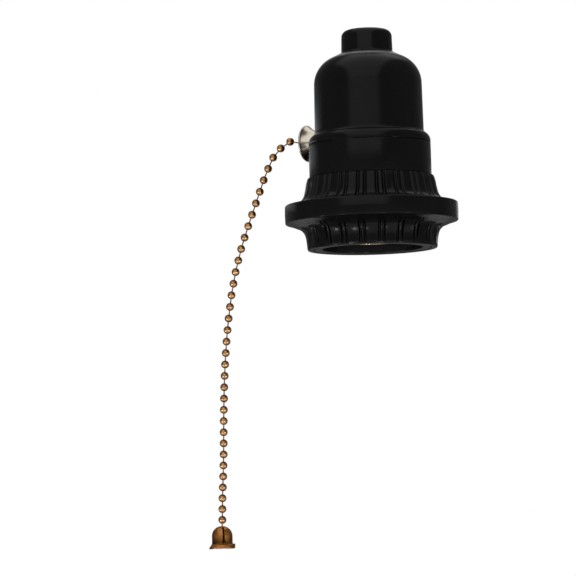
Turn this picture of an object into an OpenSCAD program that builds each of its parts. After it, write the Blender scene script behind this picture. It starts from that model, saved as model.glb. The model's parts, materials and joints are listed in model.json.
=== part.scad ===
// Pull-chain lampholder: a screw lamp socket whose switch is worked by a ball chain.
// The origin is the centre of the neck's top face, and +Z points up the supply pipe.
// The chain guide points along -X, and the lamp's mouth faces down.

/* [Cap] */
// Radius of the neck at its top
neck_r = 8.3; // [8.1:0.05:8.4]
// Radius of the round of the neck's top edge
neck_round = 2; // [1.7:0.1:2]
// Height of the neck above the dome
neck_h = 7.5; // [7:0.1:8]
// Radius of the cylinder under the dome
dome_r = 17.6; // [17.4:0.1:17.7]
// Radius of the round between the dome's side and its top
dome_round = 9.6; // [9:0.2:10]
// Height of the cap, down to the parting line
cap_h = 37.8; // [37.4:0.1:38]
// Radius of the round of the cap's shoulder
shoulder_round = 3; // [2.6:0.1:3.2]

/* [Skirt] */
// Outer radius of the skirt's plain part
body_r = 20; // [19.9:0.05:20.1]
// Height of the plain part, from the parting line to the ring
body_h = 10.8; // [10.6:0.1:11]
// Outer radius of the part that the shade ring runs on
thread_r = 19.2; // [19.1:0.05:19.3]
// Inner radius of the mouth
mouth_r = 16.5; // [16.3:0.1:16.6]
// Height of the whole holder without its chain
total_h = 72.2; // [71.8:0.1:72.6]

/* [Shade ring] */
// Outer radius of the flange
flange_r = 28.3; // [28:0.1:28.6]
// Thickness of the flange
flange_t = 6; // [5.8:0.05:6.2]
// Number of wide flutes round the ring
flutes = 22; // [20:1:24]
// Direction of the middle of one wide flute
flute_phase = -61; // [-70:1:-50]
// Depth of the grooves between the flutes
groove_depth = 0.75; // [0.5:0.05:0.85]

/* [Lamp socket] */
// Inner radius of the screw shell
shell_r = 13.25; // [13.2:0.05:13.3]
// Length of the screw shell
shell_len = 20.5; // [20:0.5:21]
// Length of the shell's threaded part
thread_len = 16; // [15:0.5:16]
// Inner radius of the plain part above the thread
plain_r = 12.6; // [12.4:0.1:12.8]
// Inner radius of the threaded entry in the neck
entry_r = 4.55; // [4.5:0.05:4.6]

/* [Switch] */
// Distance from the spindle to the stud that the chain pulls
lever_r = 8; // [7.8:0.1:8.2]
// Angle that one pull turns the switch
step = 45; // [45:1:45]
// Outer radius of the rotor
rotor_r = 5.2; // [5:0.1:5.3]

/* [Chain] */
// Diameter of a bead
bead_d = 2.7; // [2.6:0.05:2.75]
// Distance between the first two beads outside the guide
pitch_top = 4.17; // [4.1:0.01:4.25]
// Distance between the last two beads
pitch_low = 3.6; // [3.55:0.05:3.7]
// Radius of the guide's bell mouth
mouth_flare_r = 6.1; // [5.8:0.1:6.3]

/* [Bell pull] */
// Radius of the bell's body
bell_r = 3.45; // [3.3:0.05:3.55]
// Radius of the bell's brim
brim_r = 4.4; // [4.2:0.1:4.6]
// Height of the bell
bell_h = 7.6; // [7.4:0.1:7.8]

/* [Hidden] */
$fn = 64;
eps = 0.01;

// Levels, from the top down
crown_rise = 0.85;
dome_z = -neck_h - dome_round - crown_rise;
shoulder_z = -cap_h + 3.65;
joint_z = -cap_h;
ring_z = -cap_h - body_h;
flange_z = -57.4;
mouth_z = -total_h;
cap_wall = 2.1;
collar_r = body_r - 2.15;
collar_h = 2.2;
cavity_r = mouth_r - 0.1;
guide_z = -35.5;

// The core that carries the switch and the shell
core_r = cavity_r - 0.1;
core_top = -42;
ledge_z = -46;
boss_r = 14.4;
boss_z = -49;
core_recess_z = -46.5;
shell_wall = 0.4;
shell_hole_r = 6.6;

// The spindle, and the levels of what turns on it
spindle_r = 1.25;
running_gap = 0.05;
spindle = [-1, -lever_r * (1 + cos(step / 2)) / 2];
stud_rest = 90 - step / 2;
stud = spindle + lever_r * [cos(stud_rest), sin(stud_rest)];
rotor_z = -41.4;
ratchet_z = -37.6;
lever_z = -34.4;
frame_top = -29.5;
plate = 1;
leaf = 0.4;

// The ratchet and its pawl
ratchet_r = 4.6;
ratchet_root = 3.4;
teeth = 8;
tooth_phase = 52;
pawl_dir = 7.5;
pawl_r = 6.6;
pawl_at = spindle + pawl_r * [cos(pawl_dir), sin(pawl_dir)];

// The frame's front tab carries the guide
tab_x = -14.2;
tab_w = 10;
tab_t = 1.2;
barrel_r = 3.85;
guide_thread_r = 3.15;
guide_bore_r = 1.75;
mouth_x = -23.7;

// Where the fasteners stand on the core, as [x, y]
frame_screw_at = [[-10.6, 0], [9.8, 2]];
terminal_screw_at = [[0, 10.4], [10.1, -6.8]];
shell_rivet_at = [[-7, 7.4], [7, 7.4]];
centre_rivet_at = [-3.8, 0];
line_rivet_at = [6.4, -9.1];
detent_rivet_at = [-1, -11.1];

// The chain's route outside the guide, from the bell mouth down, as [x, z]
route = [[-23.7, -35.5], [-26.6, -34.9], [-30.1, -34.2], [-33.7, -36],
    [-36.8, -38.8], [-38.9, -42.4], [-40.7, -46], [-43.9, -53.3], [-47, -60.4],
    [-50, -67.7], [-52.5, -75.3], [-54.4, -82.9], [-55.8, -90.7], [-56.9, -98.4],
    [-57.7, -106], [-58.3, -113.7], [-58.7, -121.3], [-59, -129], [-59.2, -136.4],
    [-59.6, -143.8], [-60.1, -151.1], [-60.4, -158.5], [-60.4, -165.4]];
bead_r = bead_d / 2;
bead_wall = 0.22;
link_r = 0.32;
link_head_r = 0.46;
link_head_at = 0.56;
link_hole_r = 0.42;
visible_beads = 35;
first_bead_s = 6.55;
hidden_bead_s = 1.8;
inner_beads = 5;
inner_pitch = 4.2;
inner_last_x = -21.7;
bell_top = [-60.6, -160.9];
last_bead_depth = 1.95;
slit_dir = -54;

// Points of an arc, from one angle to another
function arc(centre, r, from, to, n = 10) =
    [for (i = [0:n]) centre + r * [cos(from + (to - from) * i / n), sin(from + (to - from) * i / n)]];

// The point a distance s along the route, as [x, z]
function along(s, i = 0) =
    let (leg = norm(route[i + 1] - route[i]))
    (i >= len(route) - 2 || s <= leg) ? route[i] + (route[i + 1] - route[i]) * s / leg
        : along(s - leg, i + 1);

// Distance of bead k along the route: the links are taut at the top and slacker at the bottom
function bead_s(k) = k == 0 ? hidden_bead_s
    : first_bead_s + (k - 1) * pitch_top
        - (pitch_top - pitch_low) * (k - 1) * (k - 2) / 2 / (visible_beads - 2);
function in_plane(p) = [p[0], 0, p[1]];
inner_points = [for (i = [0:inner_beads - 1])
    [inner_last_x + (inner_beads - 1 - i) * inner_pitch, 0, guide_z]];
bead_points = concat([for (k = [0:visible_beads]) in_plane(along(bead_s(k)))],
    [in_plane(bell_top - [0, last_bead_depth])]);

// Turns what stands along +Z to point from a to b, and moves it to a
module aim(a, b) {
    d = b - a;
    translate(a) rotate([0, acos(d[2] / norm(d)), atan2(d[1], d[0])]) children();
}

// A pressed strip: the polygon of a path thickened to both sides
function side(path, t) = [for (i = [0:len(path) - 1])
    let (a = path[max(i - 1, 0)], b = path[min(i + 1, len(path) - 1)], p = path[i],
        u = (p == a ? b - p : p - a), v = (p == b ? p - a : b - p),
        nu = [-u[1], u[0]] / norm(u), nv = [-v[1], v[0]] / norm(v), m = nu + nv)
    p + t * m * 2 / (m * m)];
function strip(path, t) = concat(side(path, t / 2), [for (p = side([for (i = [len(path) - 1:-1:0])
    path[i]], t / 2)) p]);

// A screw or rivet with its head's underside at the origin and its shank down
module screw(r, head_r, head_h, length) {
    difference() {
        union() {
            cylinder(r = head_r, h = head_h);
            translate([0, 0, -length]) cylinder(r = r, h = length + eps);
        }
        translate([-head_r, -0.35, head_h - 0.6]) cube([2 * head_r, 0.7, 1]);
    }
}
module rivet(r, head_r, head_h, length) {
    cylinder(r = head_r, h = head_h);
    translate([0, 0, -length]) cylinder(r = r, h = length + eps);
}
module at(p, z) {
    translate([p[0], p[1], z]) children();
}

// Black cap: neck, dome, shoulder and the short skirt over the body's collar
module cap() {
    dome_centre = [dome_r - dome_round, dome_z];
    ceiling_z = -neck_h - 2.3;
    neck_bore_r = 6.2;
    socket_r = collar_r + 0.1;
    socket_z = joint_z + collar_h + 0.2;
    color("#1b1b1c") difference() {
        rotate_extrude($fn = 120) polygon(concat(
            [[neck_bore_r, 0]],
            arc([neck_r - neck_round, -neck_round], neck_round, 90, 0, 6),
            [[neck_r + 0.15, -neck_h]],
            arc(dome_centre, dome_round, 65, 0, 12),
            [[dome_r + 0.25, shoulder_z - 0.1]],
            arc([body_r - shoulder_round, shoulder_z - shoulder_round], shoulder_round, 72, 0, 8),
            [[body_r, joint_z], [socket_r, joint_z], [socket_r, socket_z],
                [dome_r - cap_wall + 0.2, socket_z]],
            arc(dome_centre, dome_round - cap_wall, 0, 80, 10),
            [[dome_centre[0] + 1, ceiling_z], [neck_bore_r, ceiling_z]]));
        guide_notch();
    }
}

// The round notch that the guide's barrel lies in, open towards the parting line
module guide_notch() {
    translate([-body_r - 1, 0, guide_z]) rotate([0, 90, 0]) cylinder(r = barrel_r + 0.15, h = 7);
    translate([-body_r - 1, -barrel_r - 0.05, joint_z - eps]) cube([7, 2 * barrel_r + 0.1, guide_z - joint_z]);
}

// Metal bush moulded into the neck, with the threaded entry for the supply pipe
module nipple_bush() {
    flange_top = -neck_h - 2.3;
    color("#b9a878") difference() {
        union() {
            translate([0, 0, flange_top]) cylinder(r = 6.15, h = -flange_top);
            translate([0, 0, flange_top - 1]) cylinder(r = 7.6, h = 1, $fn = 6);
        }
        translate([0, 0, flange_top - 2]) cylinder(r = entry_r, h = 20);
    }
}

// Black skirt: a collar inside the cap, the plain body and the part that the ring runs on
module skirt() {
    color("#19191a") difference() {
        rotate_extrude($fn = 120) polygon([
            [cavity_r, joint_z + collar_h], [collar_r, joint_z + collar_h], [collar_r, joint_z],
            [body_r, joint_z], [body_r, ring_z], [thread_r, ring_z], [thread_r, mouth_z + 0.5],
            [thread_r - 0.4, mouth_z + 0.1], [mouth_r + 0.4, mouth_z + 0.1], [mouth_r, mouth_z + 0.5],
            [mouth_r, ledge_z - 2.5], [boss_r + 0.2, ledge_z - 2.5], [boss_r + 0.2, ledge_z],
            [cavity_r, ledge_z]]);
        translate([-body_r - 1, 0, guide_z]) rotate([0, 90, 0]) cylinder(r = barrel_r + 0.15, h = 7);
    }
}

// Shade ring: fluted above and below a thick flange
module shade_ring() {
    period = 360 / flutes;
    groove_r = 0.9;
    top_face_r = body_r + 0.7;
    low_z = flange_z - flange_t;
    bore_r = thread_r + 0.05;
    module grooves(r, z, h) {
        for (i = [0:flutes - 1], half = [-1, 1])
            rotate(flute_phase + i * period + half * period * 0.34)
                translate([r + groove_r - groove_depth, 0, z]) cylinder(r = groove_r, h = h, $fn = 24);
    }
    color("#18181a") difference() {
        rotate_extrude($fn = 120) polygon(concat(
            [[bore_r, ring_z], [top_face_r, ring_z], [top_face_r + 0.5, ring_z - 0.8]],
            arc([flange_r - 1.9, flange_z + 5], 5, 183, 270, 8),
            arc([flange_r - 0.6, flange_z - 0.6], 0.6, 90, 0, 3),
            [[flange_r + 0.3, flange_z - flange_t / 2]],
            arc([flange_r - 0.6, low_z + 0.6], 0.6, 0, -90, 3),
            arc([flange_r - 1, low_z - 5.5], 5.2, 100, 165, 8),
            [[body_r + 1.5, mouth_z + 2.2], [body_r + 1.3, mouth_z + 0.4],
                [body_r + 0.9, mouth_z], [bore_r, mouth_z]]));
        grooves(top_face_r + 0.8, ring_z - 6.5, 5.8);
        grooves(body_r + 1.3, mouth_z - 1, 8);
    }
}

// Porcelain core: carries the switch above and the screw shell below
module switch_base() {
    color("#e9e4d6") difference() {
        union() {
            translate([0, 0, ledge_z]) cylinder(r = core_r, h = core_top - ledge_z, $fn = 96);
            translate([0, 0, boss_z]) cylinder(r = boss_r, h = ledge_z - boss_z + eps, $fn = 96);
        }
        translate([0, 0, boss_z - 1]) cylinder(r = shell_hole_r - 0.3, h = core_recess_z - boss_z + 1);
        at(spindle, core_top - 2) cylinder(r = spindle_r + running_gap, h = 3);
        for (p = frame_screw_at) at(p, core_top - 3.4) cylinder(r = 1.35, h = 4);
        for (p = terminal_screw_at) at(p, core_top - 3.4) cylinder(r = 1.65, h = 4);
        for (p = shell_rivet_at) at(p, boss_z - 1) cylinder(r = 1.05, h = 9);
        at(centre_rivet_at, boss_z - 1) cylinder(r = 0.75, h = 9);
    }
}

// E27 screw shell: a thin cup with a hole for the centre contact
module screw_shell() {
    end_z = boss_z - shell_len;
    step_z = end_z + thread_len;
    color("#cdbb86") difference() {
        rotate_extrude($fn = 96) polygon([
            [shell_hole_r, boss_z], [plain_r + shell_wall, boss_z],
            [plain_r + shell_wall, step_z + shell_wall], [shell_r + shell_wall, step_z + shell_wall],
            [shell_r + shell_wall, end_z], [shell_r, end_z], [shell_r, step_z], [plain_r, step_z],
            [plain_r, boss_z - shell_wall], [shell_hole_r, boss_z - shell_wall]]);
        for (p = shell_rivet_at) at(p, boss_z - 2) cylinder(r = 1.05, h = 4);
    }
}

// Two rivets join the shell to the core and to the neutral terminal
module shell_rivets() {
    color("#c8a95c") for (p = shell_rivet_at) {
        at(p, core_top + plate) rivet(1, 1.7, 0.7, plate + core_top - boss_z + shell_wall);
        at(p, boss_z - shell_wall - 0.6) cylinder(r = 1.7, h = 0.6);
    }
}

// Spring tongue that meets the lamp's foot
module centre_contact() {
    width = 4.4;
    top_z = core_recess_z - 0.7;
    tip_z = top_z - 4.4;
    path = [[-5.3, top_z], [-2.4, top_z], [-0.8, tip_z], [0.8, tip_z], [2.4, tip_z + 1.4]];
    color("#d1a94e") difference() {
        translate([0, width / 2, 0]) rotate([90, 0, 0]) linear_extrude(width) polygon(strip(path, leaf));
        at(centre_rivet_at, top_z - 1) cylinder(r = 1, h = 2);
    }
}

// Rivet through the core from the load contact to the tongue
module centre_rivet() {
    low_head_z = core_recess_z - 1.3;
    low_head_h = 0.5;
    color("#c8a95c") {
        at(centre_rivet_at, core_top + leaf) rivet(0.7, 1.5, 0.6, core_top + leaf - low_head_z);
        at(centre_rivet_at, low_head_z - low_head_h) cylinder(r = 1.3, h = low_head_h);
    }
}

// Plate that joins the shell's rivets to the neutral screw
module neutral_terminal() {
    color("#cfb061") difference() {
        translate([0, 0, core_top]) linear_extrude(plate) polygon([[-9, 5.7], [9, 5.7], [9, 10.4],
            [5, 13.2], [-5, 13.2], [-9, 10.4]]);
        for (p = shell_rivet_at) at(p, core_top - 1) cylinder(r = 1.05, h = 4);
        at(terminal_screw_at[0], core_top - 1) cylinder(r = 1.65, h = 4);
    }
}

// Plate under the live screw
module line_terminal() {
    color("#cfb061") difference() {
        translate([0, 0, core_top]) linear_extrude(plate)
            polygon([[5, -10], [12, -10], [13.2, -8], [13.2, -3.6], [5, -3.6]]);
        at(line_rivet_at, core_top - 1) cylinder(r = 0.65, h = 4);
        at(terminal_screw_at[1], core_top - 1) cylinder(r = 1.65, h = 4);
    }
}

// Two slotted terminal screws
module terminal_screws() {
    color("#d8c79a") for (p = terminal_screw_at) at(p, core_top + plate) screw(1.6, 2.8, 2, 4);
}

// Leaf with a round button that bears on the rotor: a foot joins it to its plate
module contact_leaf(x, y_low, y_high, z_low, button_x) {
    translate([x, y_low, z_low]) cube([leaf, y_high - y_low, -38 - z_low]);
    translate([min(button_x, x), spindle[1], -39.4]) rotate([0, 90, 0])
        cylinder(r = 0.9, h = abs(button_x - x) + eps, $fn = 32);
}

module contact_line() {
    color("#d1a94e") difference() {
        union() {
            contact_leaf(5, -10, -3.6, core_top + plate, spindle[0] + rotor_r + 0.1);
            translate([5, -10, core_top + plate]) cube([2.4, 1.8, leaf]);
        }
        at(line_rivet_at, core_top) cylinder(r = 0.65, h = 2);
    }
}

// Small rivet through the line contact's foot
module line_rivet() {
    color("#c8a95c") at(line_rivet_at, core_top + plate + leaf) rivet(0.6, 0.85, 0.4, plate + leaf);
}

module contact_load() {
    color("#d1a94e") difference() {
        union() {
            contact_leaf(-7.4, -10, 1.6, core_top, spindle[0] - rotor_r - 0.1);
            translate([-7.4, -1.7, core_top]) cube([5.2, 3.4, leaf]);
        }
        at(centre_rivet_at, core_top - 1) cylinder(r = 0.75, h = 3);
    }
}

// Pressed bracket: a front tab for the guide, a top plate for the spindle and two feet
module switch_frame() {
    height = frame_top - core_top;
    color("#b8bcc0") difference() {
        union() {
            translate([tab_x, -tab_w / 2, core_top]) cube([tab_t, tab_w, height]);
            translate([tab_x, -3.2, core_top]) cube([6, 6.4, plate]);
            translate([6.2, 0, core_top]) cube([plate, 4, height]);
            translate([6.2, 0, core_top]) cube([6, 4, plate]);
            translate([0, 0, frame_top - plate]) linear_extrude(plate) polygon([[tab_x, -tab_w / 2],
                [tab_x, tab_w / 2], [-8, tab_w / 2], [7.2, 4], [7.2, 0], [3.5, -4], [3.5, -12],
                [-5.5, -12], [-8, -tab_w / 2]]);
        }
        translate([tab_x - 1, 0, guide_z]) rotate([0, 90, 0]) cylinder(r = guide_thread_r + 0.05, h = 4);
        at(spindle, frame_top - 3) cylinder(r = spindle_r + running_gap, h = 5);
        for (p = frame_screw_at) at(p, core_top - 1) cylinder(r = 1.4, h = 4);
        at(detent_rivet_at, frame_top - 3) cylinder(r = 0.75, h = 5);
    }
}

// Two screws fix the bracket's feet to the core
module frame_screws() {
    color("#c3c6c9") for (p = frame_screw_at) at(p, core_top + plate) screw(1.3, 2.3, 1.5, 4);
}

// Leaf that holds the ratchet at each step, hung from the bracket's top plate
module detent_spring() {
    reach = spindle[1] - ratchet_r - 0.35;
    path = [[detent_rivet_at[1] + 1.35, frame_top + leaf / 2], [reach, frame_top + leaf / 2],
        [reach, ratchet_z + 0.15]];
    color("#a9adb2") difference() {
        translate([-2.5, 0, 0]) rotate([90, 0, 90]) linear_extrude(3) polygon(strip(path, leaf));
        at(detent_rivet_at, frame_top - 1) cylinder(r = 0.75, h = 3);
    }
}

module detent_rivet() {
    color("#c3c6c9") at(detent_rivet_at, frame_top + leaf) {
        rivet(0.7, 1.15, 0.5, leaf + plate);
        translate([0, 0, -leaf - plate - 0.3]) cylinder(r = 0.9, h = 0.3);
    }
}

// Torsion spring round the spindle that brings the lever back
module return_spring() {
    turns = 3.25;
    steps = 52;
    coil_r = 2.1;
    wire_r = 0.25;
    low = lever_z + plate + wire_r + 0.1;
    high = frame_top - plate - wire_r - 0.05;
    sides = 6;
    coil = [for (i = [0:steps]) let (a = 360 * turns * i / steps)
        [coil_r * cos(a), coil_r * sin(a), low + (high - low) * i / steps]];
    path = concat([[coil_r, -2.6, low]], coil, [[-4, coil[steps][1], high]]);
    last = len(path) - 1;
    rings = [for (i = [0:last]) let (d = path[min(i + 1, last)] - path[max(i - 1, 0)], t = d / norm(d),
        u = cross(t, [0, 0, 1]) / norm(cross(t, [0, 0, 1])), v = cross(u, t))
        for (k = [0:sides - 1]) path[i] + wire_r * (cos(360 * k / sides) * u + sin(360 * k / sides) * v)];
    faces = concat([[for (k = [0:sides - 1]) k]],
        [for (i = [0:last - 1], k = [0:sides - 1]) [i * sides + k, (i + 1) * sides + k,
            (i + 1) * sides + (k + 1) % sides, i * sides + (k + 1) % sides]],
        [[for (k = [sides - 1:-1:0]) last * sides + k]]);
    color("#9ea3a8") at(spindle, 0) polyhedron(rings, faces, convexity = 6);
}

// Points of a bell mouth that opens gently from a to b
function bell_mouth(a, b, n = 8) = [for (i = [0:n]) [a[0] + (b[0] - a[0]) * pow(i / n, 1.6),
    a[1] + (b[1] - a[1]) * i / n]];

// Nickel-plated guide: threaded tail, barrel through the cap, and the bell mouth
module chain_guide() {
    lip = 0.3;
    tail = 12.2;
    flare_from = 19.4;
    throat = 18.5;
    lip_at = [mouth_flare_r - lip, -mouth_x - lip];
    outer = concat([[guide_thread_r, tail], [guide_thread_r, -tab_x], [barrel_r, -tab_x]],
        bell_mouth([barrel_r, flare_from], lip_at + [0, -0.4]));
    color("#cfc4b0") translate([0, 0, guide_z]) rotate([0, -90, 0]) rotate_extrude($fn = 96)
        difference() {
            polygon(concat(outer, arc(lip_at, lip, -60, 120, 6), [[0, lip_at[1]], [0, tail]]));
            polygon(concat([[0, tail - 1], [guide_bore_r, tail - 1]],
                bell_mouth([guide_bore_r, throat], lip_at + [-0.45, 0.2]),
                [lip_at + [-0.3, 1], [0, lip_at[1] + 1]]));
        }
}

// Steel spindle with a head over the bracket's top plate
module spindle() {
    color("#b5b9bd") at(spindle, core_top - 1.6) {
        cylinder(r = spindle_r, h = frame_top - core_top + 1.8);
        translate([0, 0, frame_top - core_top + 1.7]) cylinder(r = 1.9, h = 0.6);
    }
}

// Brass bridge with four lobes, let into the rotor
module lobes() {
    difference() {
        union() {
            circle(r = rotor_r - 0.7);
            intersection() {
                circle(r = rotor_r);
                for (i = [0:3]) rotate(45 + 90 * i) polygon([[0, 0], [7, -2], [7, 2]]);
            }
        }
        circle(r = rotor_r - 1.6);
    }
}

module rotor() {
    color("#4a3526") at(spindle, 0) difference() {
        translate([0, 0, rotor_z]) cylinder(r = rotor_r, h = ratchet_z - rotor_z);
        translate([0, 0, rotor_z - 1]) cylinder(r = spindle_r + eps, h = 6);
        translate([0, 0, rotor_z + 1]) linear_extrude(2) lobes();
    }
}

module rotor_contact() {
    color("#d1a94e") at(spindle, rotor_z + 1) linear_extrude(2) lobes();
}

// Steel ratchet with one tooth for each step
module ratchet_wheel() {
    tooth = 360 / teeth;
    color("#a7abb0") at(spindle, ratchet_z) linear_extrude(1.1) difference() {
        polygon([for (i = [0:teeth - 1], k = [0:3]) let (a = tooth_phase + tooth * (i + k / 4),
            r = k == 0 ? ratchet_r : ratchet_r - (ratchet_r - ratchet_root) * k / 3)
            r * [cos(a), sin(a)]]);
        circle(r = spindle_r + eps);
    }
}

// Lever: a hub on the spindle, a long arm for the stud and a short arm for the pawl
module pull_lever() {
    color("#aeb2b6") at(spindle, 0) difference() {
        union() {
            translate([0, 0, ratchet_z + 1.4]) cylinder(r = 2.6, h = lever_z + plate - ratchet_z - 1.4);
            translate([0, 0, lever_z]) linear_extrude(plate) {
                circle(r = 2.6);
                rotate(stud_rest) {
                    polygon([[0, -2.5], [lever_r, -1.4], [lever_r, 1.4], [0, 2.5]]);
                    translate([lever_r, 0]) circle(r = 1.4, $fn = 32);
                }
                rotate(pawl_dir) {
                    polygon([[0, -2.2], [pawl_r, -1.3], [pawl_r, 1.3], [0, 2.2]]);
                    translate([pawl_r, 0]) circle(r = 1.3, $fn = 32);
                }
            }
        }
        translate([0, 0, ratchet_z]) cylinder(r = spindle_r + running_gap, h = 6);
        rotate(stud_rest) translate([lever_r, 0, lever_z - 1]) cylinder(r = 0.81, h = 3, $fn = 32);
        rotate(pawl_dir) translate([pawl_r, 0, lever_z - 1]) cylinder(r = 0.71, h = 3, $fn = 32);
    }
}

// Stud riveted in the long arm: the chain's coupling hangs on it
module lever_stud() {
    color("#c3c6c9") at(stud, lever_z + plate) rivet(0.8, 1.2, 0.5, 3.6, $fn = 32);
}

// Pivot riveted in the short arm
module pawl_pin() {
    color("#c3c6c9") at(pawl_at, lever_z + plate) rivet(0.7, 1.1, 0.4, 4.1, $fn = 32);
}

// Pawl that pushes the ratchet round on the pull
module pawl() {
    tip_dir = tooth_phase - 7;
    tip = spindle + (ratchet_r - 0.3) * [cos(tip_dir), sin(tip_dir)] - pawl_at;
    across = [-tip[1], tip[0]] / norm(tip);
    color("#8f9499") at(pawl_at, ratchet_z + 0.1) difference() {
        union() {
            cylinder(r = 1.3, h = 0.9, $fn = 32);
            linear_extrude(0.9)
                polygon([1.2 * across, tip + 0.35 * across, tip - 0.35 * across, -1.2 * across]);
            translate(tip) cylinder(r = 0.35, h = 0.9, $fn = 24);
        }
        translate([0, 0, -1]) cylinder(r = 0.75, h = 3, $fn = 32);
    }
}

// Insulating eye on the stud, with a socket for the chain's first link
module chain_coupling() {
    color("#e6ddc4") translate([stud[0], 0, guide_z]) difference() {
        union() {
            translate([0, 0, -0.8]) cylinder(r = 2.2, h = 1.6, $fn = 48);
            translate([-4.9, 0, 0]) rotate([0, 90, 0]) cylinder(r = 1, h = 3.6, $fn = 32);
            translate([-2.4, -1.1, -0.8]) cube([1.4, 2.2, 1.6]);
        }
        translate([0, 0, -2]) cylinder(r = 1.25, h = 4, $fn = 48);
        translate([-4.45, 0, 0]) rotate([0, 90, 0]) cylinder(r = 0.6, h = 1.25, $fn = 24);
        translate([-6, 0, 0]) rotate([0, 90, 0]) cylinder(r = link_hole_r, h = 2, $fn = 24);
    }
}

// One hollow bead at p, with a hole towards each neighbour
module bead(p, before, after) {
    difference() {
        translate(p) sphere(r = bead_r, $fn = 32);
        translate(p) sphere(r = bead_r - bead_wall, $fn = 32);
        aim(p, before) cylinder(r = link_hole_r, h = 2, $fn = 16);
        aim(p, after) cylinder(r = link_hole_r, h = 2, $fn = 16);
    }
}

// One link: a wire with a round head inside the bead at each end
module link(a, b) {
    gap = norm(b - a) - 2 * link_head_at;
    aim(a, b) translate([0, 0, link_head_at]) {
        cylinder(r = link_r, h = gap, $fn = 16);
        sphere(r = link_head_r, $fn = 24);
        translate([0, 0, gap]) sphere(r = link_head_r, $fn = 24);
    }
}

// Beads and links between the coupling and the guide's mouth
module inner_chain() {
    color("#a8793a") {
        for (i = [0:inner_beads - 1]) bead(inner_points[i],
            i == 0 ? inner_points[0] + [5, 0, 0] : inner_points[i - 1],
            i == inner_beads - 1 ? bead_points[0] : inner_points[i + 1]);
        for (i = [0:inner_beads - 2]) link(inner_points[i], inner_points[i + 1]);
        link(inner_points[0] + [stud[0] - 3.9 + link_head_at - inner_points[0][0], 0, 0], inner_points[0]);
    }
}

// Beads outside the guide: the last one sits inside the bell
module chain_beads() {
    color("#a8793a") for (k = [0:visible_beads + 1]) bead(bead_points[k],
        k == 0 ? inner_points[inner_beads - 1] : bead_points[k - 1],
        k == visible_beads + 1 ? bead_points[k] - [0, 0, 1] : bead_points[k + 1]);
}

module chain_links() {
    color("#8a6230") {
        link(inner_points[inner_beads - 1], bead_points[0]);
        for (k = [0:visible_beads]) link(bead_points[k], bead_points[k + 1]);
    }
}

// Thin bell with a flared brim and a slit that the chain's end goes in by
module bell_pull() {
    wall = 0.45;
    round_r = 2.95;
    module profile(t) {
        polygon(concat([[0, -t]], arc([bell_r - round_r, -round_r], round_r - t, 90, 0, 8),
            [[bell_r - t, -bell_h + 1.7], [bell_r + 0.35 - t, -bell_h + 1.1],
                [brim_r - t, -bell_h + 0.4], [brim_r - t / 2, -bell_h - t], [0, -bell_h - t]]));
    }
    color("#7d5a2b") translate([bell_top[0], 0, bell_top[1]]) difference() {
        rotate_extrude($fn = 72) profile(0);
        difference() {
            rotate_extrude($fn = 72) profile(wall);
            translate([0, 0, 1 - wall]) cube([20, 20, 2], center = true);
        }
        translate([0, 0, -1]) cylinder(r = 0.45, h = 2, $fn = 24);
        rotate(slit_dir) {
            translate([0, -0.35, -bell_h + 1.6]) cube([5, 0.7, bell_h]);
            translate([0, -0.5, -bell_h + 1.5]) cube([5, 1, 1.4]);
        }
    }
}

cap();
nipple_bush();
skirt();
switch_base();
screw_shell();
shell_rivets();
centre_contact();
centre_rivet();
neutral_terminal();
line_terminal();
terminal_screws();
contact_line();
line_rivet();
contact_load();
switch_frame();
frame_screws();
detent_spring();
detent_rivet();
return_spring();
chain_guide();
spindle();
rotor();
rotor_contact();
ratchet_wheel();
pull_lever();
lever_stud();
pawl();
pawl_pin();
chain_coupling();
inner_chain();
chain_beads();
chain_links();
bell_pull();
shade_ring();
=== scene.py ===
"""Looks of the pull-chain lampholder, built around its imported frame.

Everything is in the frame's own axes: the origin is the middle of the neck's top face,
+Z points up the lamp pipe and the chain guide points along -X.
Outlines and sizes are in millimetres and become metres when a mesh is made.
"""
import json
import math

import bmesh
import bpy
import numpy as np
from mathutils import Matrix, Vector


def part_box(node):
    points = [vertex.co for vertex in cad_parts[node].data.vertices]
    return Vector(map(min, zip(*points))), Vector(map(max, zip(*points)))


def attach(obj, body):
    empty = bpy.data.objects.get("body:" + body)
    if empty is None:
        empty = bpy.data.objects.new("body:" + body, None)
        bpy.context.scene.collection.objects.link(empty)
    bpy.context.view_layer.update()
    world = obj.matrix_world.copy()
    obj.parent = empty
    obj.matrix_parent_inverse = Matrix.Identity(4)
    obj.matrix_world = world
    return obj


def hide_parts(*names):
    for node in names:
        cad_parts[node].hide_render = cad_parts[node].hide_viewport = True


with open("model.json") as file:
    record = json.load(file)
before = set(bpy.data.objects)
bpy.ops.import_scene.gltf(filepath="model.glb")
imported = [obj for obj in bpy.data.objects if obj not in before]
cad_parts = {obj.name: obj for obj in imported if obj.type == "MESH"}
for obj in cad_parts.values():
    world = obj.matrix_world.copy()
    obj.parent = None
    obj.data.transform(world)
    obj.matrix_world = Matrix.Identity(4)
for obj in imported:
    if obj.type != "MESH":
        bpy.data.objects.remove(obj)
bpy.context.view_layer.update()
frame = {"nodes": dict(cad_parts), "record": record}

MM = 0.001


def box_mm(node):
    """Lowest and highest corner of a CAD node, in millimetres."""
    low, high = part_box(node)
    return low / MM, high / MM


# ---------------------------------------------------------------- camera

CAMERA_AZIMUTH = math.radians(29)
CAMERA_DISTANCE = 0.9967
CAMERA_HEIGHT = -0.1646
CAMERA_PITCH = 0.08054
CAMERA_YAW = -0.02806
CAMERA_ROLL = 0.02682
LENS_MM = 191.5


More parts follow.
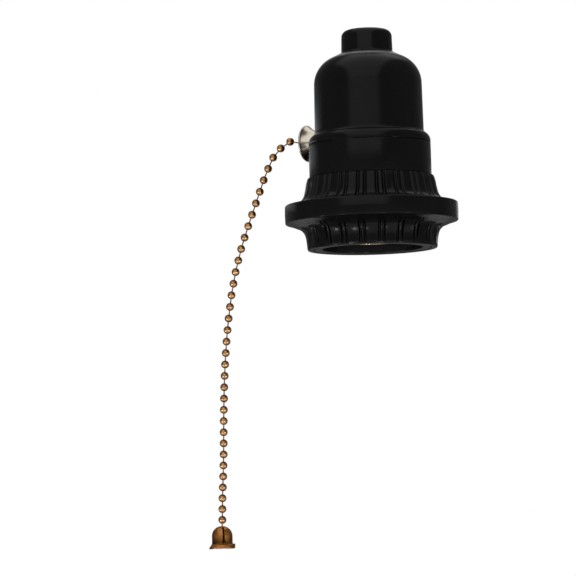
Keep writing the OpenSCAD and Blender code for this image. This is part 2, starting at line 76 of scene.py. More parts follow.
def make_camera():
    """A long lens a metre away, looking slightly up at the holder."""
    sin_a, cos_a = math.sin(CAMERA_AZIMUTH), math.cos(CAMERA_AZIMUTH)
    ahead = Vector((-sin_a, cos_a, 0))
    right = Vector((cos_a, sin_a, 0))
    up = Vector((0, 0, 1))
    level = ahead * math.cos(CAMERA_YAW) + right * math.sin(CAMERA_YAW)
    side = right * math.cos(CAMERA_YAW) - ahead * math.sin(CAMERA_YAW)
    forward = level * math.cos(CAMERA_PITCH) + up * math.sin(CAMERA_PITCH)
    top = up * math.cos(CAMERA_PITCH) - level * math.sin(CAMERA_PITCH)
    x_axis = side * math.cos(CAMERA_ROLL) - top * math.sin(CAMERA_ROLL)
    y_axis = top * math.cos(CAMERA_ROLL) + side * math.sin(CAMERA_ROLL)
    data = bpy.data.cameras.new("camera")
    data.lens = LENS_MM
    data.sensor_width = 36
    data.clip_start, data.clip_end = 0.05, 50
    camera = bpy.data.objects.new("camera", data)
    bpy.context.scene.collection.objects.link(camera)
    place = Matrix((x_axis, y_axis, -forward)).transposed().to_4x4()
    place.translation = (sin_a * CAMERA_DISTANCE, -cos_a * CAMERA_DISTANCE, CAMERA_HEIGHT)
    camera.matrix_world = place
    bpy.context.scene.camera = camera


make_camera()


# ---------------------------------------------------------------- mesh tools


def arc(centre, radius, start, end, count):
    """Points of an arc round centre, with both ends; angles in degrees."""
    angles = np.radians(np.linspace(start, end, count + 1))
    return [(centre[0] + radius * math.cos(a), centre[1] + radius * math.sin(a)) for a in angles]


def rounded(corners, closed=True, steps=4):
    """An outline through corners (r, z, fillet radius), each fillet drawn as an arc."""
    points = []
    count = len(corners)
    for i, corner in enumerate(corners):
        here = np.array(corner[:2], float)
        radius = corner[2] if len(corner) > 2 else 0
        at_end = not closed and i in (0, count - 1)
        if radius <= 0 or at_end:
            points.append(tuple(here))
            continue
        before = np.array(corners[i - 1][:2], float) - here
        after = np.array(corners[(i + 1) % count][:2], float) - here
        room = 0.49 * min(np.linalg.norm(before), np.linalg.norm(after))
        before /= np.linalg.norm(before)
        after /= np.linalg.norm(after)
        half = math.acos(max(-1, min(1, float(before @ after)))) / 2
        reach = min(radius / math.tan(half), room)
        radius = reach * math.tan(half)
        middle = before + after
        if np.linalg.norm(middle) < 1e-6:
            points.append(tuple(here))
            continue
        centre = here + middle / np.linalg.norm(middle) * radius / math.sin(half)
        first, last = here + before * reach - centre, here + after * reach - centre
        for k in range(steps + 1):
            mix = first * (1 - k / steps) + last * k / steps
            points.append(tuple(centre + mix / np.linalg.norm(mix) * radius))
    return points


def smooth_line(points, count):
    """A centripetal Catmull-Rom line through points, resampled evenly."""
    p = np.array(points, float)
    p = np.vstack([2 * p[0] - p[1], p, 2 * p[-1] - p[-2]])
    fine = []
    for i in range(1, len(p) - 2):
        knots = np.cumsum([0] + [np.linalg.norm(p[i + k] - p[i + k - 1]) ** 0.5 for k in range(3)])
        for t in np.linspace(knots[1], knots[2], 12, endpoint=False):
            a = [p[i - 1 + k] + (p[i + k] - p[i - 1 + k]) * (t - knots[k]) / (knots[k + 1] - knots[k])
                 for k in range(3)]
            b = [a[k] + (a[k + 1] - a[k]) * (t - knots[k]) / (knots[k + 2] - knots[k]) for k in range(2)]
            fine.append(b[0] + (b[1] - b[0]) * (t - knots[1]) / (knots[2] - knots[1]))
    fine.append(p[-2])
    fine = np.array(fine)
    along = np.concatenate([[0], np.cumsum(np.linalg.norm(np.diff(fine, axis=0), axis=1))])
    at = np.linspace(0, along[-1], count)
    return np.stack([np.interp(at, along, fine[:, k]) for k in range(fine.shape[1])], axis=1)


def new_object(name, verts, faces, sharp=35, place=None, kinds=None):
    """A mesh object from vertices in millimetres, with outward faces and smooth shading."""
    mesh = bpy.data.meshes.new(name)
    mesh.from_pydata([tuple(v) for v in np.asarray(verts, float) * MM], [], [tuple(f) for f in faces])
    if kinds is not None:
        mesh.polygons.foreach_set("material_index", np.asarray(kinds, np.int32))
    work = bmesh.new()
    work.from_mesh(mesh)
    bmesh.ops.remove_doubles(work, verts=work.verts, dist=1e-7)
    bmesh.ops.dissolve_degenerate(work, edges=work.edges, dist=1e-8)
    bmesh.ops.recalc_face_normals(work, faces=work.faces)
    work.to_mesh(mesh)
    work.free()
    mesh.shade_smooth()
    mesh.set_sharp_from_angle(angle=math.radians(sharp))
    obj = bpy.data.objects.new(name, mesh)
    bpy.context.scene.collection.objects.link(obj)
    if place is not None:
        obj.data.transform(place)
    return obj


def turned(outline, segments, closed=True, shape=None):
    """Vertices and faces of an outline (r, z) turned about Z; shape(angle, r, z) may change r."""
    line = np.array(outline, float)
    angles = np.linspace(0, 2 * math.pi, segments, endpoint=False)
    a, r = np.meshgrid(angles, line[:, 0], indexing="ij")
    z = np.broadcast_to(line[:, 1], r.shape).copy()
    if shape is not None:
        r, z = shape(a, r, z)
    verts = np.stack([r * np.cos(a), r * np.sin(a), z], axis=-1).reshape(-1, 3)
    return verts, grid_faces(segments, len(line), True, closed)


def grid_faces(rows, columns, wrap_rows, wrap_columns):
    """Quads of a grid of rows x columns vertices."""
    faces = []
    for i in range(rows if wrap_rows else rows - 1):
        for k in range(columns if wrap_columns else columns - 1):
            i2, k2 = (i + 1) % rows, (k + 1) % columns
            faces.append((i * columns + k, i2 * columns + k, i2 * columns + k2, i * columns + k2))
    return faces


def joined(parts):
    """One list of vertices and faces from several, with a kind number for each part's faces."""
    verts, faces, kinds, start = [], [], [], 0
    for v, f, kind in parts:
        verts.append(v)
        faces += [tuple(k + start for k in face) for face in f]
        kinds += [kind] * len(f)
        start += len(v)
    return np.vstack(verts), faces, kinds


def facing(direction, at):
    """The turn that stands Z along direction, and the move to the point at."""
    turn = Vector(direction).to_track_quat("Z", "Y").to_matrix()
    return np.array(turn), np.array(at, float)


def placed(verts, direction, at):
    """Vertices made along Z, turned along direction and moved to at."""
    turn, move = facing(direction, at)
    return np.asarray(verts) @ turn.T + move


def cut(obj, name, verts, faces):
    """Cuts a closed mesh out of obj."""
    tool = new_object(name, verts, faces)
    modifier = obj.modifiers.new(name, "BOOLEAN")
    modifier.object = tool
    modifier.operation = "DIFFERENCE"
    modifier.solver = "EXACT"
    bpy.context.view_layer.update()
    graph = bpy.context.evaluated_depsgraph_get()
    mesh = bpy.data.meshes.new_from_object(obj.evaluated_get(graph))
    obj.modifiers.clear()
    obj.data = mesh
    bpy.data.objects.remove(tool)
    obj.data.set_sharp_from_angle(angle=math.radians(35))


def vertices_mm(obj):
    """A piece's vertices as rows of x, y and z in millimetres."""
    return np.array([v.co for v in obj.data.vertices]) / MM


def write_attribute(obj, name, values):
    """Stores one number for each vertex, for the piece's material to read."""
    layer = obj.data.attributes.new(name, "FLOAT", "POINT")
    layer.data.foreach_set("value", values.astype(np.float32))


def finish_piece(obj, body, slot, *nodes, materials=()):
    """Puts a piece on its body, in the place of its CAD nodes, with its materials."""
    for material in materials:
        obj.data.materials.append(material)
    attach(obj, body)
    if nodes:
        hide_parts(*nodes)
    return obj


# ---------------------------------------------------------------- materials


class Nodes:
    """A material's node tree with short calls for what the materials here share."""

    def __init__(self, name):
        self.material = bpy.data.materials.new(name)
        self.material.use_nodes = True
        self.tree = self.material.node_tree
        self.tree.nodes.clear()
        self.out = self.tree.nodes.new("ShaderNodeOutputMaterial")
        self.shader = self.tree.nodes.new("ShaderNodeBsdfPrincipled")
        self.join(self.shader.outputs[0], self.out.inputs[0])
        self.place = self.tree.nodes.new("ShaderNodeTexCoord").outputs["Object"]

    def join(self, a, b):
        self.tree.links.new(a, b)

    def noise(self, scale, detail=3, roughness=0.5, stretch=None):
        source = self.place
        if stretch is not None:
            mapping = self.tree.nodes.new("ShaderNodeMapping")
            mapping.inputs["Scale"].default_value = stretch
            self.join(source, mapping.inputs["Vector"])
            source = mapping.outputs[0]
        node = self.tree.nodes.new("ShaderNodeTexNoise")
        node.inputs["Scale"].default_value = scale
        node.inputs["Detail"].default_value = detail
        node.inputs["Roughness"].default_value = roughness
        self.join(source, node.inputs["Vector"])
        return node.outputs["Fac"]

    def ramp(self, value, stops):
        node = self.tree.nodes.new("ShaderNodeValToRGB")
        elements = node.color_ramp.elements
        while len(elements) < len(stops):
            elements.new(0.5)
        for element, (at, colour) in zip(elements, stops):
            element.position = at
            element.color = (*colour, 1)
        self.join(value, node.inputs[0])
        return node.outputs[0]

    def spread(self, value, low, high, start=0.3, end=0.7):
        node = self.tree.nodes.new("ShaderNodeMapRange")
        node.inputs["From Min"].default_value = start
        node.inputs["From Max"].default_value = end
        node.inputs["To Min"].default_value = low
        node.inputs["To Max"].default_value = high
        self.join(value, node.inputs["Value"])
        return node.outputs[0]

    def mix(self, factor, a, b, blend="MIX"):
        node = self.tree.nodes.new("ShaderNodeMix")
        node.data_type = "RGBA"
        node.blend_type = blend
        for socket, value in ((node.inputs[0], factor), (node.inputs[6], a), (node.inputs[7], b)):
            if isinstance(value, bpy.types.NodeSocket):
                self.join(value, socket)
            else:
                socket.default_value = value if not isinstance(value, tuple) else (*value, 1)
        return node.outputs[2]

    def product(self, a, b):
        node = self.tree.nodes.new("ShaderNodeMath")
        node.operation = "MULTIPLY"
        self.join(a, node.inputs[0])
        self.join(b, node.inputs[1])
        return node.outputs[0]

    def attribute(self, name):
        node = self.tree.nodes.new("ShaderNodeAttribute")
        node.attribute_name = name
        return node.outputs["Fac"]

    def bump(self, height, strength, depth_mm):
        node = self.tree.nodes.new("ShaderNodeBump")
        node.inputs["Strength"].default_value = strength
        node.inputs["Distance"].default_value = depth_mm * MM
        self.join(height, node.inputs["Height"])
        self.join(node.outputs[0], self.shader.inputs["Normal"])


# Pale colour of the highlight painted round the neck
PAINTED_HIGHLIGHT_COLOUR = (0.36, 0.36, 0.37)
# How dark the patina and the painted shade are, as a share of the dull tone
SHADE_AND_PATINA_SHARE = 0.25


def phenolic(name, dark, light, rough, painted_highlight=None):
    """Moulded phenolic: faint flow marks, a satin skin and a very fine orange peel.

    The last argument names an attribute where a pale painted highlight is laid over the colour.
    """
    n = Nodes(name)
    flow = n.noise(55, 4, 0.6, (1, 1, 0.35))
    colour = n.ramp(flow, [(0.35, dark), (0.65, light)])
    # A pale, mottled painted highlight where the attribute is set
    if painted_highlight is not None:
        share = n.spread(n.noise(600, 4, 0.6), 0.6, 1)
        share = n.product(share, n.attribute(painted_highlight))
        colour = n.mix(share, colour, PAINTED_HIGHLIGHT_COLOUR)
    n.join(colour, n.shader.inputs["Base Color"])
    n.join(n.spread(n.noise(160, 4, 0.55), rough - 0.04, rough + 0.05), n.shader.inputs["Roughness"])
    n.shader.inputs["Specular IOR Level"].default_value = 0.22
    n.bump(n.noise(900, 3, 0.5), 0.1, 0.02)
    return n.material


def worn_metal(name, bright, dull, rough_low, rough_high, scale=180, grain=1400, patina_and_shade=None):
    """A metal whose tone and gloss vary in patches.

    The last argument names an attribute that darkens the tone: patina in some places, painted shade in
    others.
    """
    n = Nodes(name)
    patches = n.noise(scale, 5, 0.6)
    colour = n.ramp(patches, [(0.3, dull), (0.62, bright)])
    if patina_and_shade is not None:
        # Dark tone for patina and for painted shade
        shade_and_patina_tone = tuple(tone * SHADE_AND_PATINA_SHARE for tone in dull)
        colour = n.mix(n.attribute(patina_and_shade), colour, shade_and_patina_tone)
    n.join(colour, n.shader.inputs["Base Color"])
    n.shader.inputs["Metallic"].default_value = 1
    n.join(n.spread(n.noise(scale * 1.7, 4, 0.6), rough_low, rough_high), n.shader.inputs["Roughness"])
    n.bump(n.noise(grain, 3, 0.6), 0.15, 0.02)
    return n.material


def porcelain():
    """Unglazed white porcelain with a faint mottle and fine pits."""
    n = Nodes("porcelain")
    n.join(n.ramp(n.noise(220, 5, 0.6), [(0.3, (0.62, 0.58, 0.5)), (0.7, (0.8, 0.78, 0.72))]),
           n.shader.inputs["Base Color"])
    n.join(n.spread(n.noise(300, 3), 0.45, 0.62), n.shader.inputs["Roughness"])
    n.bump(n.noise(1600, 4, 0.7), 0.35, 0.03)
    return n.material


def nylon():
    """Natural nylon, slightly cloudy."""
    n = Nodes("nylon")
    n.join(n.ramp(n.noise(300, 3), [(0.3, (0.62, 0.57, 0.45)), (0.7, (0.76, 0.72, 0.6))]),
           n.shader.inputs["Base Color"])
    n.join(n.spread(n.noise(500, 3), 0.4, 0.55), n.shader.inputs["Roughness"])
    n.bump(n.noise(1500, 3), 0.1, 0.02)
    return n.material


DARK_FLOW, LIGHT_FLOW = (0.0028, 0.0028, 0.0031), (0.0044, 0.0043, 0.0045)
BLACK = phenolic("black_phenolic", DARK_FLOW, LIGHT_FLOW, 0.2)
CAP_BLACK = phenolic("cap_phenolic", DARK_FLOW, LIGHT_FLOW, 0.2, "painted_highlight")
RING_BLACK = phenolic("ring_phenolic", DARK_FLOW, (0.0048, 0.0046, 0.0049), 0.18)
BROWN = phenolic("brown_phenolic", (0.05, 0.024, 0.012), (0.09, 0.045, 0.024), 0.45)
PORCELAIN = porcelain()
NYLON = nylon()
BRASS = worn_metal("brass", (0.78, 0.56, 0.24), (0.5, 0.33, 0.13), 0.22, 0.4)
SHELL_BRASS = worn_metal("shell_brass", (0.82, 0.64, 0.34), (0.66, 0.48, 0.23), 0.16, 0.3, 90)
BEAD_BRASS = worn_metal("bead_brass", (0.84, 0.48, 0.22), (0.52, 0.26, 0.1), 0.16, 0.3, 500, 3000, "patina_and_shade")
LINK_BRASS = worn_metal("link_brass", (0.4, 0.24, 0.12), (0.16, 0.09, 0.04), 0.3, 0.5, 600, 3000)
BELL_BRASS = worn_metal("bell_brass", (0.66, 0.28, 0.075), (0.38, 0.15, 0.04), 0.26, 0.4, 300, 2200, "patina_and_shade")
NICKEL = worn_metal("warm_nickel", (0.95, 0.86, 0.74), (0.82, 0.71, 0.56), 0.12, 0.22, 260, 2000)
STEEL = worn_metal("plated_steel", (0.62, 0.63, 0.64), (0.4, 0.4, 0.41), 0.28, 0.45, 200)
SPRING = worn_metal("spring_steel", (0.36, 0.37, 0.4), (0.18, 0.18, 0.2), 0.25, 0.4, 260)


# ---------------------------------------------------------------- chain

# The chain's route outside the guide, from the bell mouth down, as (x, z)
ROUTE = [(-23.7, -35.5), (-26.6, -34.9), (-30.1, -34.2), (-33.7, -36),
    (-36.8, -38.8), (-38.9, -42.4), (-40.7, -46), (-43.9, -53.3), (-47, -60.4),
    (-50, -67.7), (-52.5, -75.3), (-54.4, -82.9), (-55.8, -90.7), (-56.9, -98.4),
    (-57.7, -106), (-58.3, -113.7), (-58.7, -121.3), (-59, -129), (-59.2, -136.4),
    (-59.6, -143.8), (-60.1, -151.1), (-60.4, -158.5), (-60.4, -165.4)]
BEAD_R = 1.35
BEAD_WALL = 0.2
BEAD_HOLE_R = 0.42
# The wire is drawn thinner than its CAD solid, which is 0.32
LINK_R = 0.22
LINK_HEAD_R = 0.46
LINK_HEAD_AT = 0.56
GUIDE_Z = ROUTE[0][1]
VISIBLE_BEADS = 35
HIDDEN_BEAD_S = 1.8
FIRST_BEAD_S = 6.55
PITCH_TOP, PITCH_LOW = 4.17, 3.6
INNER_PITCH = 4.2
INNER_BEADS = 5
INNER_LAST_X = -21.7
INNER_END_X = -1.84
BELL_TOP = (-60.6, -160.9)
LAST_BEAD_DEPTH = 1.95


def along_route(distance):
    """The point that far down the route, in millimetres."""
    line = np.array(ROUTE, float)
    steps = np.concatenate([[0], np.cumsum(np.linalg.norm(np.diff(line, axis=0), axis=1))])
    x, z = (np.interp(distance, steps, line[:, k]) for k in range(2))
    return np.array([x, 0, z])


def bead_distance(k):
    """Where bead k is on the route: taut links at the top, slacker ones at the bottom."""
    if k == 0:
        return HIDDEN_BEAD_S
    slack = (PITCH_TOP - PITCH_LOW) * (k - 1) * (k - 2) / 2 / (VISIBLE_BEADS - 2)
    return FIRST_BEAD_S + (k - 1) * PITCH_TOP - slack


def bead_mesh(at, before, after):
    """One hollow bead, open towards its two neighbours, as vertices and faces."""
    edge = math.degrees(math.asin(BEAD_HOLE_R / BEAD_R))
    outside = arc((0, 0), BEAD_R, 90 - edge, -90 + edge, 14)
    inside = arc((0, 0), BEAD_R - BEAD_WALL, -90 + edge * 1.2, 90 - edge * 1.2, 6)
    verts, faces = turned(outside + inside, 24)
    return placed(verts, np.array(before, float) - np.array(after, float), at), faces


def link_mesh(start, end):
    """One wire link with a round head inside the bead at each end."""
    start, end = np.array(start, float), np.array(end, float)
    length = np.linalg.norm(end - start)
    neck = math.degrees(math.asin(LINK_R / LINK_HEAD_R))
    outline = arc((0, LINK_HEAD_AT), LINK_HEAD_R, -90, 90 - neck, 5)
    outline += arc((0, length - LINK_HEAD_AT), LINK_HEAD_R, -90 + neck, 90, 5)
    verts, faces = turned(outline, 12, closed=False)
    return placed(verts, end - start, start), faces


def chain_points():
    """The centres of the beads inside the guide, and of those outside it."""
    inner = [np.array([INNER_LAST_X + (INNER_BEADS - 1 - i) * INNER_PITCH, 0, GUIDE_Z])
             for i in range(INNER_BEADS)]
    outer = [along_route(bead_distance(k)) for k in range(VISIBLE_BEADS + 1)]
    outer.append(np.array([BELL_TOP[0], 0, BELL_TOP[1] - LAST_BEAD_DEPTH]))
    return inner, outer


def ball_chain(name, points, ends):
    """Beads at points and the links between them; ends are the places before and after."""
    line = [ends[0], *points, ends[1]]
    parts = []
    for i, point in enumerate(points):
        parts.append((*bead_mesh(point, line[i], line[i + 2]), 0))
    for i, point in enumerate(points):
        parts.append((*link_mesh(line[i], point), 1))
    verts, faces, kinds = joined(parts)
    obj = new_object(name, verts, faces, 60, kinds=kinds)
    paint_bead_patina_and_shade(obj, points)
    return obj


def paint_bead_patina_and_shade(obj, points):
    """Writes a dark tone on the beads: a thin ring of patina at a bead's lower hole, painted shade in a wide
    cap over its upper side, and painted shade all over the last bead inside the bell.
    """
    co = vertices_mm(obj)
    centres = np.array(points)
    run = np.gradient(centres, axis=0)
    run /= np.linalg.norm(run, axis=1)[:, None]
    near = np.argmin(np.linalg.norm(co[:, None, :] - centres[None, :, :], axis=2), axis=1)
    out = co - centres[near]
    height = -np.sum(out * run[near], axis=1) / np.maximum(np.linalg.norm(out, axis=1), 0.01)
    # A thin ring of patina at the lower hole, and a wide cap of painted shade over the upper side
    patina_and_shade = np.clip((height - 0.3) / 0.4, 0, 1) + np.clip((-height - 0.75) / 0.15, 0, 1) * 0.8
    # Painted shade over the last bead, which sits inside the bell
    patina_and_shade[near == len(points) - 1] = 1
    write_attribute(obj, "patina_and_shade", patina_and_shade)


def make_chain():
    """The free chain along its route, and the chain inside the guide."""
    inner, outer = chain_points()
    free = ball_chain("ball_chain", outer, (inner[-1], outer[-1] + np.array([0, 0, -1])))
    finish_piece(free, "chain", "antique_brass", "chain_beads", "chain_links",
                 materials=(BEAD_BRASS, LINK_BRASS))
    start = np.array([INNER_END_X, 0, GUIDE_Z])
    guided = ball_chain("guided_chain", inner, (start, outer[0]))
    finish_piece(guided, "pull", "antique_brass", "inner_chain", materials=(BEAD_BRASS, LINK_BRASS))
    return free, outer


free_chain, outer_beads = make_chain()


# ---------------------------------------------------------------- bell pull

BELL_R, BRIM_R, BELL_H = 3.45, 4.4, 7.6
BELL_WALL = 0.4
BELL_ROUND = 3.3
BELL_HOLE_R = 0.45
# The slit stands 4 degrees further round than in the CAD
SLIT_ANGLE = math.radians(-50)
SLIT_HALF = 0.32


def make_bell():
    """Thin bell with a slit up one side and a rolled brim that is bent down on the left."""
    crown_at = (BELL_R - BELL_ROUND, -BELL_ROUND)
    outside = arc(crown_at, BELL_ROUND, 86, 0, 14) + [
        (BELL_R, -4.4), (BELL_R, -5.3), (BELL_R + 0.03, -5.7), (BELL_R + 0.14, -5.95), (BELL_R + 0.4, -6.1),
        (BELL_R + 0.7, -6.16), (BRIM_R - 0.08, -6.26), (BRIM_R + 0.02, -6.5), (BRIM_R - 0.1, -6.75),
        (BRIM_R, -7.0), (BRIM_R - 0.04, -7.3), (BRIM_R - 0.2, -7.52)]
    inside = [(BRIM_R - 0.45, -7.55), (BRIM_R - 0.62, -7.2), (BELL_R + 0.05, -6.7),
              (BELL_R - 0.3, -6.1), (BELL_R - BELL_WALL, -5.5), (BELL_R - BELL_WALL, -4.4)]
    inside += arc(crown_at, BELL_ROUND - BELL_WALL, 0, 80, 10)
    outline = [(BELL_HOLE_R, -0.02)] + outside + inside + [(BELL_HOLE_R, -BELL_WALL - 0.02)]

    def warp(a, r, z):
        """Bends the brim: it droops to a point on the left and lifts to a thin tip on the right."""
        across = np.cos(a - CAMERA_AZIMUTH)
        left, right = np.clip(-across, 0, 1) ** 2, np.clip(across, 0, 1) ** 6
        flare = np.clip((r - BELL_R) / 0.9, 0, 1) * np.clip((-z - 5.8) / 0.4, 0, 1)
        upper = flare * np.clip((6.8 + z) / 0.5, 0, 1)
        lift = 0.07 * np.sin(3 * a + 0.6) + 0.05 * np.sin(5 * a) - 0.12 * left
        z = z + flare * lift - upper * left * 0.75 + upper * right * 0.28
        r = r - upper * right * 0.15 - flare * (1 - np.clip((7.0 + z) / 0.5, 0, 1)) * right * 0.1
        return r, z

    verts, faces = turned(outline, 96, shape=warp)
    bell = new_object("bell_shell", verts, faces, 50)
    sin_s, cos_s = math.sin(SLIT_ANGLE), math.cos(SLIT_ANGLE)
    turn = np.array([[cos_s, sin_s, 0], [-sin_s, cos_s, 0], [0, 0, 1]])
    for height, half, top in ((BELL_H, SLIT_HALF, -0.05), (1.35, SLIT_HALF * 1.9, -4.9)):
        corners = [(x, y, z) for x in (1.0, 6.0) for y in (-half, half) for z in (top - height, top)]
        cut(bell, "slit", np.array(corners) @ turn, box_faces())
    bell.data.transform(Matrix.Translation(Vector((BELL_TOP[0], 0, BELL_TOP[1])) * MM))
    paint_bell_shade(bell)
    return finish_piece(bell, "chain", "bell_brass", "bell_pull", materials=(BELL_BRASS,))


def paint_bell_shade(bell):
    """Writes painted shade over the lower wall, deepest on the camera's left, and over the whole inside."""
    co = vertices_mm(bell)
    x, y, depth = co[:, 0] - BELL_TOP[0], co[:, 1], BELL_TOP[1] - co[:, 2]
    aside = np.cos(np.arctan2(y, x) - CAMERA_AZIMUTH)
    # Painted shade on the lower wall, deepest on the camera's left
    patina_and_shade = np.clip((depth - 3.2) / 1.9, 0, 1) * np.clip((6.3 - depth) / 0.4, 0, 1) * (0.75 - 0.25 * aside)
    above_round = np.clip(BELL_ROUND - depth, 0, None)
    outer = BELL_R - BELL_ROUND + np.sqrt(np.maximum(BELL_ROUND ** 2 - above_round ** 2, 0))
    # Painted shade over the whole inside of the bell
    patina_and_shade[(np.hypot(y, x) < outer - BELL_WALL / 2) & (depth > 0.1) & (depth < 6.9)] = 1
    write_attribute(bell, "patina_and_shade", patina_and_shade)


def box_faces():
    """Faces of a box whose corners run x, then y, then z."""
    return [(0, 1, 3, 2), (4, 6, 7, 5), (0, 4, 5, 1), (2, 3, 7, 6), (0, 2, 6, 4), (1, 5, 7, 3)]


make_bell()


# ---------------------------------------------------------------- moulded bodies

cap_low, cap_high = box_mm("cap")
ring_low, ring_high = box_mm("shade_ring")
BODY_R = cap_high.x
JOINT_Z = cap_low.z
RING_Z = ring_high.z
MOUTH_Z = ring_low.z
NECK_R, NECK_H = 8.3, 7.5
DOME_R, DOME_ROUND = 17.68, 9.6
NECK_ROUND = 2.3
NECK_BORE_R = 6.2
SHOULDER_ROUND = 3.0
SHOULDER_START = 58
HOLLOW_R = 1.55
COLLAR_R, COLLAR_H = BODY_R - 2.15, 2.2
THREAD_R = 19.2
RING_BORE_R = 19.3
MOUTH_R = 16.5
LEDGE_Z = -46
BOSS_R = 14.6
BARREL_R = 3.85


def guide_cutter():
    """The round notch that the guide's barrel lies in."""
    verts, faces = turned([(0, -22), (BARREL_R + 0.12, -22), (BARREL_R + 0.12, -14), (0, -14)], 64, False)
    return placed(verts, (1, 0, 0), (0, 0, GUIDE_Z)), faces


def make_cap():
    """Neck, dome, shoulder and rim, as one moulding."""
    dome = (DOME_R - DOME_ROUND, -NECK_H - DOME_ROUND - 0.85)
    crown = arc(dome, DOME_ROUND, 65, 0, 30)
    ceiling = -NECK_H - 2.3
    neck = [(NECK_BORE_R, -3), (NECK_BORE_R, -0.04)]
    neck += arc((NECK_R - NECK_ROUND, -NECK_ROUND), NECK_ROUND, 84, 0, 10)
    foot = [(NECK_R, -NECK_ROUND), (NECK_R + 0.13, -NECK_H, 0.9), crown[0]]
    neck += rounded(foot, closed=False, steps=8)[1:-1]
    foot_end, slope = np.array(neck[-1]), np.array(crown[0]) - neck[-1]
    neck += [tuple(foot_end + slope * share) for share in (0.15, 0.3, 0.45, 0.7)]
    round_at = (BODY_R - SHOULDER_ROUND, JOINT_Z + 0.65)
    shoulder = arc(round_at, SHOULDER_ROUND, SHOULDER_START, 0, 10)
    lean = math.radians(SHOULDER_START)
    hollow = (shoulder[0][0] + HOLLOW_R * math.cos(lean), shoulder[0][1] + HOLLOW_R * math.sin(lean))
    step = [(DOME_R + 0.02, -19), *arc(hollow, HOLLOW_R, 180, 180 + SHOULDER_START, 10)]
    rim = rounded([(BODY_R, JOINT_Z + 0.5), (BODY_R, JOINT_Z, 0.15), (COLLAR_R + 0.1, JOINT_Z)],
                  closed=False)
    outside = neck + crown + step[:-1] + shoulder + rim
    inside = [(COLLAR_R + 0.1, JOINT_Z + COLLAR_H + 0.2), (DOME_R - 1.9, JOINT_Z + COLLAR_H + 0.2)]
    inside += arc(dome, DOME_ROUND - 2.1, 0, 80, 12) + [(dome[0] + 1, ceiling), (NECK_BORE_R, ceiling)]
    obj = new_object("cap_moulding", *turned(outside + inside, 192))
    cut(obj, "notch", *guide_cutter())
    paint_neck_highlight(obj)
    return finish_piece(obj, "holder", "black_phenolic", "cap", materials=(CAP_BLACK,))


def paint_neck_highlight(cap):
    """Writes a painted highlight: a pale ring on the dome's top, round the neck."""
    co = vertices_mm(cap)
    radius, z = np.hypot(co[:, 0], co[:, 1]), co[:, 2]
    on_top = (z > -NECK_H - 2.6) & (z < -NECK_H + 0.5)
    ring = np.clip(13.2 - radius, 0, 2) / 2 * np.clip(radius - 9.6, 0, 1)
    write_attribute(cap, "painted_highlight", np.where(on_top, ring, 0))


def make_skirt():
    """Collar, plain body, the coarse thread that the ring runs on and the mouth."""
    pitch, depth = 3.0, 0.45

    def thread(a, r, z):
        """Cuts the ring's coarse thread into the outer wall."""
        zone = (r > THREAD_R - 0.1) & (r < THREAD_R + 0.05) & (z < RING_Z - 0.6) & (z > MOUTH_Z + 0.7)
        wave = 0.5 - 0.5 * np.cos(2 * math.pi * (z / pitch - a / (2 * math.pi)))
        fade = np.clip((RING_Z - 0.6 - z) / 1.2, 0, 1) * np.clip((z - MOUTH_Z - 0.7) / 1.2, 0, 1)
        return np.where(zone, r - depth * fade * wave ** 1.5, r), z

    wall = [(THREAD_R, z) for z in np.arange(RING_Z - 0.5, MOUTH_Z + 0.7, -0.3)]
    top = rounded([(16.4, LEDGE_Z), (16.4, JOINT_Z + COLLAR_H, 0.3), (COLLAR_R, JOINT_Z + COLLAR_H, 0.3),
                   (COLLAR_R, JOINT_Z), (BODY_R, JOINT_Z, 0.45), (BODY_R, RING_Z, 0.25),
                   (THREAD_R, RING_Z, 0.2), (THREAD_R, RING_Z - 0.5)], closed=False)
    mouth = rounded([(THREAD_R, MOUTH_Z + 0.7), (THREAD_R - 0.15, MOUTH_Z + 0.1, 0.35),
                     (MOUTH_R, MOUTH_Z + 0.1, 0.4), (MOUTH_R - 0.02, LEDGE_Z - 2.5, 0.3),
                     (BOSS_R, LEDGE_Z - 2.5, 0.15), (BOSS_R, LEDGE_Z, 0.15)], closed=False)
    obj = new_object("skirt_moulding", *turned(top[:-1] + wall + mouth, 192, shape=thread))
    cut(obj, "notch", *guide_cutter())
    return finish_piece(obj, "holder", "black_phenolic", "skirt", materials=(BLACK,))


FLUTES = 22
FLUTE_PHASE = math.radians(-61)
# Outlines (r, z) of the flutes' crests and of the valleys between them
UPPER_CREST = [(20.7, -48.75), (21.15, -50), (21.6, -52.5), (22.35, -55), (23.6, -56.4), (25.6, -57.35),
               (27.1, -57.42)]
UPPER_VALLEY = [(20.1, -48.85), (20.55, -50.15), (20.98, -52.65), (21.7, -55.3), (22.9, -56.8), (25, -57.5),
                (27.1, -57.46)]
LOWER_CREST = [(27.6, -63.48), (26, -64.1), (24, -64.9), (22.9, -65.7), (22.2, -66.6), (21.7, -68),
               (21.4, -70.3), (21.3, -71.6)]
LOWER_VALLEY = [(27.6, -63.5), (26, -64.12), (24.3, -64.8), (23.2, -65.1), (22.2, -65.35), (21.35, -66.1),
                (20.95, -67.4), (20.8, -69.8), (20.85, -71.6)]


def bulge(value, start, end, soft):
    """1 between start and end, with a soft step at each."""
    def step(edge):
        t = np.clip((value - edge + soft) / (2 * soft), 0, 1)
        return t * t * (3 - 2 * t)
    return step(start) * (1 - step(end))


